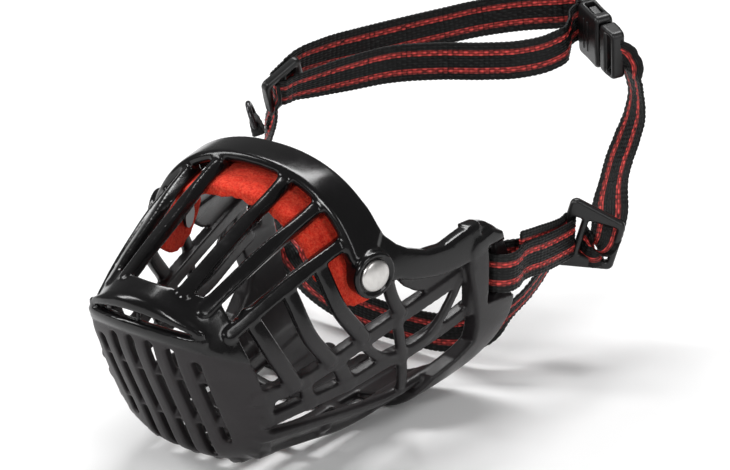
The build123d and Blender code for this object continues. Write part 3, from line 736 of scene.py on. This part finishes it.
def local_frame(centre, along, up):
    """Origin and directions of a frame, x along, y up and z the cross product, as in the CAD model."""
    x = unit(along)
    y = unit(np.asarray(up, float) - x * (np.asarray(up, float) @ x))
    return np.array(centre, float), np.stack([x, y, np.cross(x, y)])


def moulding(name, at, low, high, distance, body, nodes, slot, step=FINE):
    """Piece with a given distance function in a local frame."""
    field = Field(low, high, step)
    x, y, z = np.broadcast_arrays(field.x, field.y, field.z)
    vertices, faces = surface_net(distance(x, y, z), field.low, step)
    origin, axes = local_frame(*at)
    piece = mesh_object(name, origin + vertices @ axes, faces)
    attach(piece, body)
    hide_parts(*nodes)
    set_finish(piece, slot)
    return piece


def slide_distance(left_half, right_half, reach_left, reach_right):
    """Distance function of a slide with two windows, by its half width and reach at each end."""
    corner, bar, window, middle_bar = 2.6, 2.8, 7.0, 1.3

    def distance(x, y, z):
        left, right = corner - reach_left, reach_right - corner
        ends = [(left, corner - left_half), (right, corner - right_half),
                (right, right_half - corner), (left, left_half - corner)]
        outline = polygon_distance(x[:, :, 0], y[:, :, 0], ends) - corner
        for low, high in ((-reach_left + bar, -middle_bar), (middle_bar, reach_right - bar)):
            hole = round_box(x[:, :, 0] - (low + high) / 2, y[:, :, 0], (high - low) / 2, window, 0.9)
            outline = smax(outline, -hole, 0.5)
        crown = 0.35 * np.clip(1 - np.abs(y) / left_half, 0, 1)
        return plate(outline[:, :, None], z, 1.7 + crown, 1.3)
    return distance


def female_distance(x, y, z):
    """Buckle sleeve, with its side openings, its ribs and the bar the webbing turns round."""
    waist = 0.5 * np.cos(np.clip((x - 4.0) / 8.0, -1, 1) * np.pi)
    outline = round_box(x - 4.0, y, 8.0, 11.0 - 0.3 * waist, 2.4)
    body = plate(outline, z, 3.9 - 0.4 * np.abs(y / 11.0) ** 2, 1.5)
    body = smax(body, -plate(round_box(x - 1.5, y, 8.5, 8.8, 0.8), z, 2.3, 0.1), 0.3)
    body = smax(body, -np.maximum(round_box(x - 5.0, z, 4.25, 1.95, 0.8), 7.0 - np.abs(y)), 0.5)
    rib = plate(round_box(np.abs(x - 5.0) - 1.5, y, 0.35, 6.5, 0.3), np.abs(z) - 3.8, 0.35, 0.2)
    body = smin(body, rib, 0.4)
    tail = smax(round_box(x - 14.6, y, 4.5, 10.0, 1.8), -round_box(x - 14.7, y, 1.9, 8.0, 0.6), 0.4)
    return smin(body, plate(tail, z, 1.4, 0.9), 1.0)


def male_distance(x, y, z):
    """Buckle plug: its base with the webbing bar, and its middle tongue."""
    base = smax(round_box(x + 10.2, y, 5.25, 10.0, 2.2), -round_box(x + 11.4, y, 1.7, 8.0, 0.6), 0.4)
    body = plate(base, z, 3.2 - 0.6 * np.clip((-x - 10.0) / 5.0, 0, 1), 1.3)
    return smin(body, plate(round_box(x - 1.5, y, 6.75, 2.3, 0.8), z, 1.3, 0.4), 0.6)


def arms_distance(x, y, z):
    """The plug's two sprung arms."""
    arm = [(-4.9, 5.4), (8.4, 6.4), (9, 8), (6.6, 10.6), (1.6, 10.2), (1.3, 8.4), (-4.9, 8.2)]
    outline = polygon_distance(x[:, :, 0], np.abs(y[:, :, 0]), arm)
    return plate(outline[:, :, None], z, 1.6, 0.5)


def ring_distance(x, y, z):
    """Wire bent to a D, its straight side on the x axis."""
    angle = np.linspace(0, np.pi, 19)
    arc = np.stack([5.2 * np.cos(angle), 7.6 * np.sin(angle) ** 0.9, 0 * angle], axis=1)
    return path_distance(x, y, z, list(arc) + [arc[0]]) - 1.05


def keeper_distance(x, y, z):
    """Tab of webbing folded over the ring's straight side."""
    fold = plate(round_box(x, y + 1.5, 4.0, 3.5, 1.2), z, 2.6 - 0.14 * (y + 5.0).clip(0, 8), 1.1)
    fold = fold + 0.12 * np.cos(2 * np.pi * y / PICK) * np.cos(np.pi * x / 1.07)
    return smax(fold, -(np.hypot(y, z) - 1.3), 0.3)


def cap_distance(x, y, z):
    """Domed rivet cap; z runs along the rivet's axis from the boss face."""
    radial = np.hypot(x, y)
    dome = np.hypot(radial, z + 11.8) - 14.0
    cap = smax(smax(dome, radial - CAP_RADIUS + 0.1, 0.9), -z, 0.2)
    return np.minimum(cap, np.maximum(radial - 1.3, np.abs(z + 4.0) - 4.5))


def make_hardware():
    pieces = [
        moulding("right_adjuster_slide", ADJUSTER_AT, (-8.2, -15, -2.8), (16, 15, 2.8),
                 slide_distance(14.0, 10.2, 7.4, 15.0), "adjuster", ["right_adjuster"], "hardware_plastic"),
        moulding("left_slide", TRIGLIDE_AT, (-10, -11, -2.8), (10, 11, 2.8),
                 slide_distance(10.2, 10.2, 9.0, 9.0), "slide", ["left_tri_glide"], "hardware_plastic"),
        moulding("buckle_sleeve", BUCKLE_AT, (-5, -12, -5), (20, 12, 5), female_distance, "harness",
                 ["buckle_female"], "hardware_plastic"),
        moulding("buckle_plug", BUCKLE_AT, (-16.4, -11, -4), (9.2, 11, 4), male_distance, "plug",
                 ["buckle_male"], "hardware_plastic"),
        moulding("buckle_arms", BUCKLE_AT, (-6, -11.6, -2.4), (10, 11.6, 2.4), arms_distance, "plug",
                 ["buckle_spring_arms"], "hardware_plastic"),
        moulding("ring_wire", RING_AT, (-7, -2, -2), (7, 11.4, 2), ring_distance, "ring", ["d_ring"],
                 "dark_steel"),
        moulding("ring_tab", RING_AT, (-5, -6, -3.4), (5, 3, 3.4), keeper_distance, "harness",
                 ["d_ring_keeper"], "black_webbing")]
    x, y, z = RIVET_AT
    for name, side in (("right", 1), ("left", -1)):
        along = np.cross(UP, (side * RIVET_COS, -RIVET_SIN, 0.0))
        at = ((side * x, y, z), along, UP)
        pieces.append(moulding(name + "_rivet_dome", at, (-7, -7, -9), (7, 7, 3), cap_distance, "cage",
                               [name + "_rivet_cap"], "nickel", CAP_STEP))
    return pieces


# ---- felt ----
FELT_OUTER, FELT_INNER = -3.3, -7.3                         # depths of its faces under the outer form
FELT_FRONT, FELT_REAR, FELT_END_RADIUS = 57.0, 76.0, 13.0
FELT_STEP, FELT_QUICK_STEP = 0.6, 1.0
EDGE_FLUFF, FACE_FLUFF = 1.2, 0.9


def make_felt():
    """Felt strip under the arch: the right half is worked out and mirrored."""
    field = Field((0, 52, 56), (50, 90, 104), FELT_STEP)
    form = form_distance(field.x, field.y, field.z)
    y, z = field.y, field.z
    beside = np.abs(y - (FELT_FRONT + FELT_REAR) / 2) - (FELT_REAR - FELT_FRONT) / 2
    strip = np.maximum(beside, RIVET_AT[2] - z)
    end = np.hypot(y - RIVET_AT[1], z - RIVET_AT[2]) - FELT_END_RADIUS
    outline = smin(strip, end, 3.0)
    fluff = rng.normal(0, 1, form.shape)
    for axis in range(3):
        for _ in range(2):
            fluff = (np.roll(fluff, 1, axis) + fluff + np.roll(fluff, -1, axis)) / 3
    outline = outline + EDGE_FLUFF * fluff
    half = (FELT_OUTER - FELT_INNER) / 2
    body = plate(outline, form - (FELT_OUTER + FELT_INNER) / 2, half, 1.3) + FACE_FLUFF * fluff
    radial, height = rivet_frame(field.x, field.y, field.z)
    body = smax(body, -(radial - 2.3), 0.3)
    body = smax(body, -np.maximum(radial - 4.9, height + 11.5), 0.4)
    piece = mesh_object("brow_felt", *mirrored_net(field, body))
    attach(piece, "cage")
    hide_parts("brow_felt_pad")
    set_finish(piece, "red_felt")
    return piece


# ---- materials ----
class Finish:
    """One material, wired up node by node."""

    def __init__(self, name, **sockets):
        self.material = bpy.data.materials.new(name)
        self.material.use_nodes = True
        self.tree = self.material.node_tree
        self.surface = self.tree.nodes["Principled BSDF"]
        for socket, value in sockets.items():
            self.surface.inputs[socket.replace("_", " ")].default_value = value

    def node(self, kind, inputs=(), **settings):
        node = self.tree.nodes.new("ShaderNode" + kind)
        for key, value in settings.items():
            setattr(node, key, value)
        for socket, value in dict(inputs).items():
            self.put(value, node.inputs[socket])
        return node

    def put(self, value, socket):
        if isinstance(value, bpy.types.NodeSocket):
            self.tree.links.new(value, socket)
        else:
            socket.default_value = value

    def noise(self, scale, detail=3.0, roughness=0.6, stretch=(1, 1, 1)):
        """Noise with scale features to a metre."""
        place = self.node("TexCoord").outputs["Object"]
        place = self.node("Mapping", {"Vector": place, "Scale": stretch}).outputs[0]
        inputs = {"Vector": place, "Scale": scale, "Detail": detail, "Roughness": roughness}
        return self.node("TexNoise", inputs).outputs[0]

    def ramp(self, value, low, high, start=0.0, end=1.0):
        """From low to high as value goes from start to end."""
        inputs = {"Value": value, "From Min": start, "From Max": end, "To Min": low, "To Max": high}
        return self.node("MapRange", inputs).outputs[0]

    def mix(self, share, first, second, blend="MIX"):
        node = self.node("Mix", data_type="RGBA", blend_type=blend)
        for socket, value in ((0, share), (6, first), (7, second)):
            self.put(value, node.inputs[socket])
        return node.outputs[2]

    def held(self, name):
        """The mesh's own attribute of this name."""
        return self.node("Attribute", attribute_name=name).outputs["Fac"]

    def color(self, value):
        self.put(value, self.surface.inputs["Base Color"])

    def roughness(self, value):
        self.put(value, self.surface.inputs["Roughness"])

    def bump(self, value, distance, strength=1.0):
        """Relief with distance in millimetres."""
        node = self.node("Bump", {"Height": value, "Distance": distance * MM, "Strength": strength})
        old = self.surface.inputs["Normal"].links
        if old:
            self.put(old[0].from_socket, node.inputs["Normal"])
        self.put(node.outputs[0], self.surface.inputs["Normal"])


def rgb(red, green, blue):
    return (red, green, blue, 1.0)


def cage_plastic():
    finish = Finish("moulded_plastic", Specular_IOR_Level=0.36)
    shine = finish.held("shine")
    cloud = finish.noise(90.0, 4.0)
    grain = finish.noise(2600.0, 2.0)
    matt = finish.mix(cloud, rgb(0.0100, 0.0080, 0.0088), rgb(0.0180, 0.0145, 0.0160))
    gloss = finish.mix(cloud, rgb(0.0030, 0.0028, 0.0030), rgb(0.0060, 0.0056, 0.0060))
    finish.color(finish.mix(shine, matt, gloss))
    rough_matt = finish.ramp(grain, 0.42, 0.60)
    rough_gloss = finish.ramp(cloud, 0.12, 0.22, 0.3, 0.7)
    mixed = finish.node("Mix", {0: shine, 2: rough_matt, 3: rough_gloss}, data_type="FLOAT")
    finish.roughness(mixed.outputs[0])
    depth = finish.ramp(shine, 1.0, 0.12)
    grains = finish.node("Math", {0: grain, 1: depth}, operation="MULTIPLY").outputs[0]
    finish.bump(grains, 0.10, 0.6)
    finish.bump(finish.noise(160.0, 1.0), 0.12, 0.35)
    return finish.material


def striped_webbing():
    finish = Finish("woven_webbing", Specular_IOR_Level=0.26)
    bead, cloud = finish.held("bead"), finish.noise(260.0, 3.0)
    fibre = finish.noise(5200.0, 2.0)
    dull = finish.mix(fibre, rgb(0.0015, 0.0016, 0.0016), rgb(0.0070, 0.0074, 0.0074))
    # painted highlight: the black yarn's colour is made lighter towards the tops of the beads
    black = finish.mix(finish.ramp(bead, 0.0, 1.0, 0.5, 1.0), dull, rgb(0.0105, 0.0120, 0.0118))
    red = finish.mix(fibre, rgb(0.84, 0.026, 0.028), rgb(1.0, 0.150, 0.125))
    base = finish.mix(finish.held("stripe"), black, red)
    # painted shade: the colour is darkened towards the low parts of the weave between the beads
    shade = finish.ramp(bead, 0.02, 1.0, 0.10, 0.92)
    grey = finish.node("CombineColor", {0: shade, 1: shade, 2: shade}).outputs[0]
    shaded = finish.mix(1.0, base, grey, "MULTIPLY")
    finish.color(finish.mix(finish.ramp(cloud, 0.0, 0.25, 0.35, 0.75), shaded, rgb(0.0, 0.0, 0.0)))
    finish.roughness(finish.ramp(fibre, 0.34, 0.62))
    finish.bump(fibre, 0.09, 0.7)
    return finish.material


def tab_webbing():
    finish = Finish("black_webbing_tab", Sheen_Weight=0.1, Specular_IOR_Level=0.3)
    fibre = finish.noise(3800.0, 3.0)
    finish.color(finish.mix(fibre, rgb(0.004, 0.004, 0.0045), rgb(0.030, 0.030, 0.031)))
    finish.roughness(finish.ramp(fibre, 0.6, 0.85))
    finish.bump(fibre, 0.14, 0.8)
    return finish.material


def red_felt():
    finish = Finish("needled_felt", Sheen_Weight=0.10, Sheen_Roughness=0.6, Specular_IOR_Level=0.1,
                    Sheen_Tint=rgb(1.0, 0.45, 0.40))
    fibres = finish.noise(1100.0, 5.0, 0.8)
    clumps = finish.noise(420.0, 3.0)
    tone = finish.mix(finish.ramp(clumps, 0.0, 1.0, 0.3, 0.7), rgb(0.62, 0.010, 0.006),
                      rgb(0.90, 0.028, 0.012))
    finish.color(finish.mix(finish.ramp(fibres, 0.0, 1.0, 0.40, 0.66), tone, rgb(1.0, 0.115, 0.055)))
    finish.roughness(finish.ramp(fibres, 0.82, 1.0))
    finish.bump(fibres, 0.9, 1.0)
    finish.bump(clumps, 0.9, 0.5)
    return finish.material


def nickel():
    finish = Finish("satin_nickel", Metallic=1.0)
    cloud, scratch = finish.noise(420.0, 4.0), finish.noise(2400.0, 3.0, 0.7, (1.0, 1.0, 0.08))
    finish.color(finish.mix(cloud, rgb(0.50, 0.485, 0.47), rgb(0.74, 0.725, 0.70)))
    finish.roughness(finish.ramp(scratch, 0.22, 0.42))
    finish.bump(scratch, 0.03, 0.5)
    return finish.material


def hardware_plastic():
    finish = Finish("fittings_plastic", Specular_IOR_Level=0.45)
    cloud, grain = finish.noise(220.0, 4.0), finish.noise(3400.0, 2.0)
    finish.color(finish.mix(cloud, rgb(0.004, 0.004, 0.0042), rgb(0.010, 0.0098, 0.010)))
    finish.roughness(finish.ramp(grain, 0.26, 0.44))
    finish.bump(grain, 0.05, 0.5)
    return finish.material


def dark_steel():
    finish = Finish("blackened_steel", Metallic=0.85)
    cloud = finish.noise(500.0, 4.0)
    finish.color(finish.mix(cloud, rgb(0.030, 0.030, 0.032), rgb(0.085, 0.084, 0.086)))
    finish.roughness(finish.ramp(cloud, 0.20, 0.38))
    finish.bump(finish.noise(1800.0, 2.0), 0.03, 0.5)
    return finish.material


def paint(piece, material):
    piece.data.materials.clear()
    piece.data.materials.append(material)


def shine_of(points):
    """1 on the glossy top and the arch, 0 on the matt nose plate, about a half on the low side bars."""
    _, y, z = points.T
    cap = np.clip((z - lap_height(y)) / 0.8 + 0.5, 0, 1)
    bars = 0.45 + 0.55 * np.clip((z - 58.0) / 8.0, 0, 1)
    behind = np.clip((y - 24.0) / 6.0, 0, 1)
    return cap * (1 - behind) + bars * behind


# ---- object ----
basket = make_basket()
store(basket, "shine", shine_of(local_points(basket)))
paint(basket, cage_plastic())
paint(make_felt(), red_felt())
web_finish = striped_webbing()
for piece in make_harness():
    paint(piece, web_finish)
finishes = {"hardware_plastic": hardware_plastic(), "dark_steel": dark_steel(), "nickel": nickel(),
            "black_webbing": tab_webbing()}
for piece in make_hardware():
    paint(piece, finishes[piece["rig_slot"]])
# painted shade: the rivet posts take the black fittings finish so their flange inside the felt reads as the
# dark gap there
for name in ("right_rivet_post", "left_rivet_post"):
    paint(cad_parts[name], finishes["hardware_plastic"])

# ---- stage ----
TARGET = Vector((22.8, 21.8, 69.7)) * MM
AZIMUTH, ELEVATION, DISTANCE = math.radians(34.88), math.radians(24.39), 1.0
SENSOR_WIDTH, LENS = 36, 139.8
LIGHTS_AT = Vector((0.0, 0.03, 0.05))
FLOOR_HALF, FLOOR_Z = 3, -0.0004
WORLD_LIGHT = 0.17


def linked(name, data):
    made = bpy.data.objects.new(name, data)
    bpy.context.scene.collection.objects.link(made)
    return made


def aim(thing, target):
    thing.rotation_euler = (thing.location - target).to_track_quat("Z", "Y").to_euler()


camera = linked("camera", bpy.data.cameras.new("camera"))
towards = Vector((math.sin(AZIMUTH) * math.cos(ELEVATION), -math.cos(AZIMUTH) * math.cos(ELEVATION),
                  math.sin(ELEVATION)))
camera.location = TARGET + DISTANCE * towards
aim(camera, TARGET)
camera.data.sensor_width = SENSOR_WIDTH
camera.data.lens = LENS
camera.data.clip_start = 0.05
bpy.context.scene.camera = camera


def softbox(name, location, size, power):
    light = linked(name, bpy.data.lights.new(name, "AREA"))
    light.data.shape = "RECTANGLE"
    light.data.size, light.data.size_y = size
    light.data.energy = power
    light.location = location
    aim(light, LIGHTS_AT)


softbox("overhead", (-0.25, 0.55, 1.15), (0.8, 0.32), 12.5)
softbox("left_key", (-0.85, -0.55, 0.75), (0.22, 0.7), 7.0)
softbox("front_fill", (0.25, -1.15, 0.75), (0.35, 0.25), 6.0)
softbox("right_fill", (1.05, -0.25, 0.65), (0.25, 0.7), 3.5)

floor = linked("floor", bpy.data.meshes.new("floor"))
corners = [(x * FLOOR_HALF, y * FLOOR_HALF, FLOOR_Z) for x, y in ((-1, -1), (1, -1), (1, 1), (-1, 1))]
floor.data.from_pydata(corners, [], [(0, 1, 2, 3)])
ground = Finish("pale_floor", Specular_IOR_Level=0.1)
ground.color(ground.mix(ground.noise(3.0), rgb(0.92, 0.92, 0.92), rgb(0.96, 0.96, 0.96)))
ground.roughness(ground.ramp(ground.noise(40.0), 0.7, 0.9))
paint(floor, ground.material)

world = bpy.data.worlds.new("studio")
bpy.context.scene.world = world
world.use_nodes = True
sky = world.node_tree.nodes["Background"].inputs
sky["Color"].default_value = rgb(1.0, 1.0, 1.0)
sky["Strength"].default_value = WORLD_LIGHT
bpy.context.scene.view_settings.view_transform = "Standard"
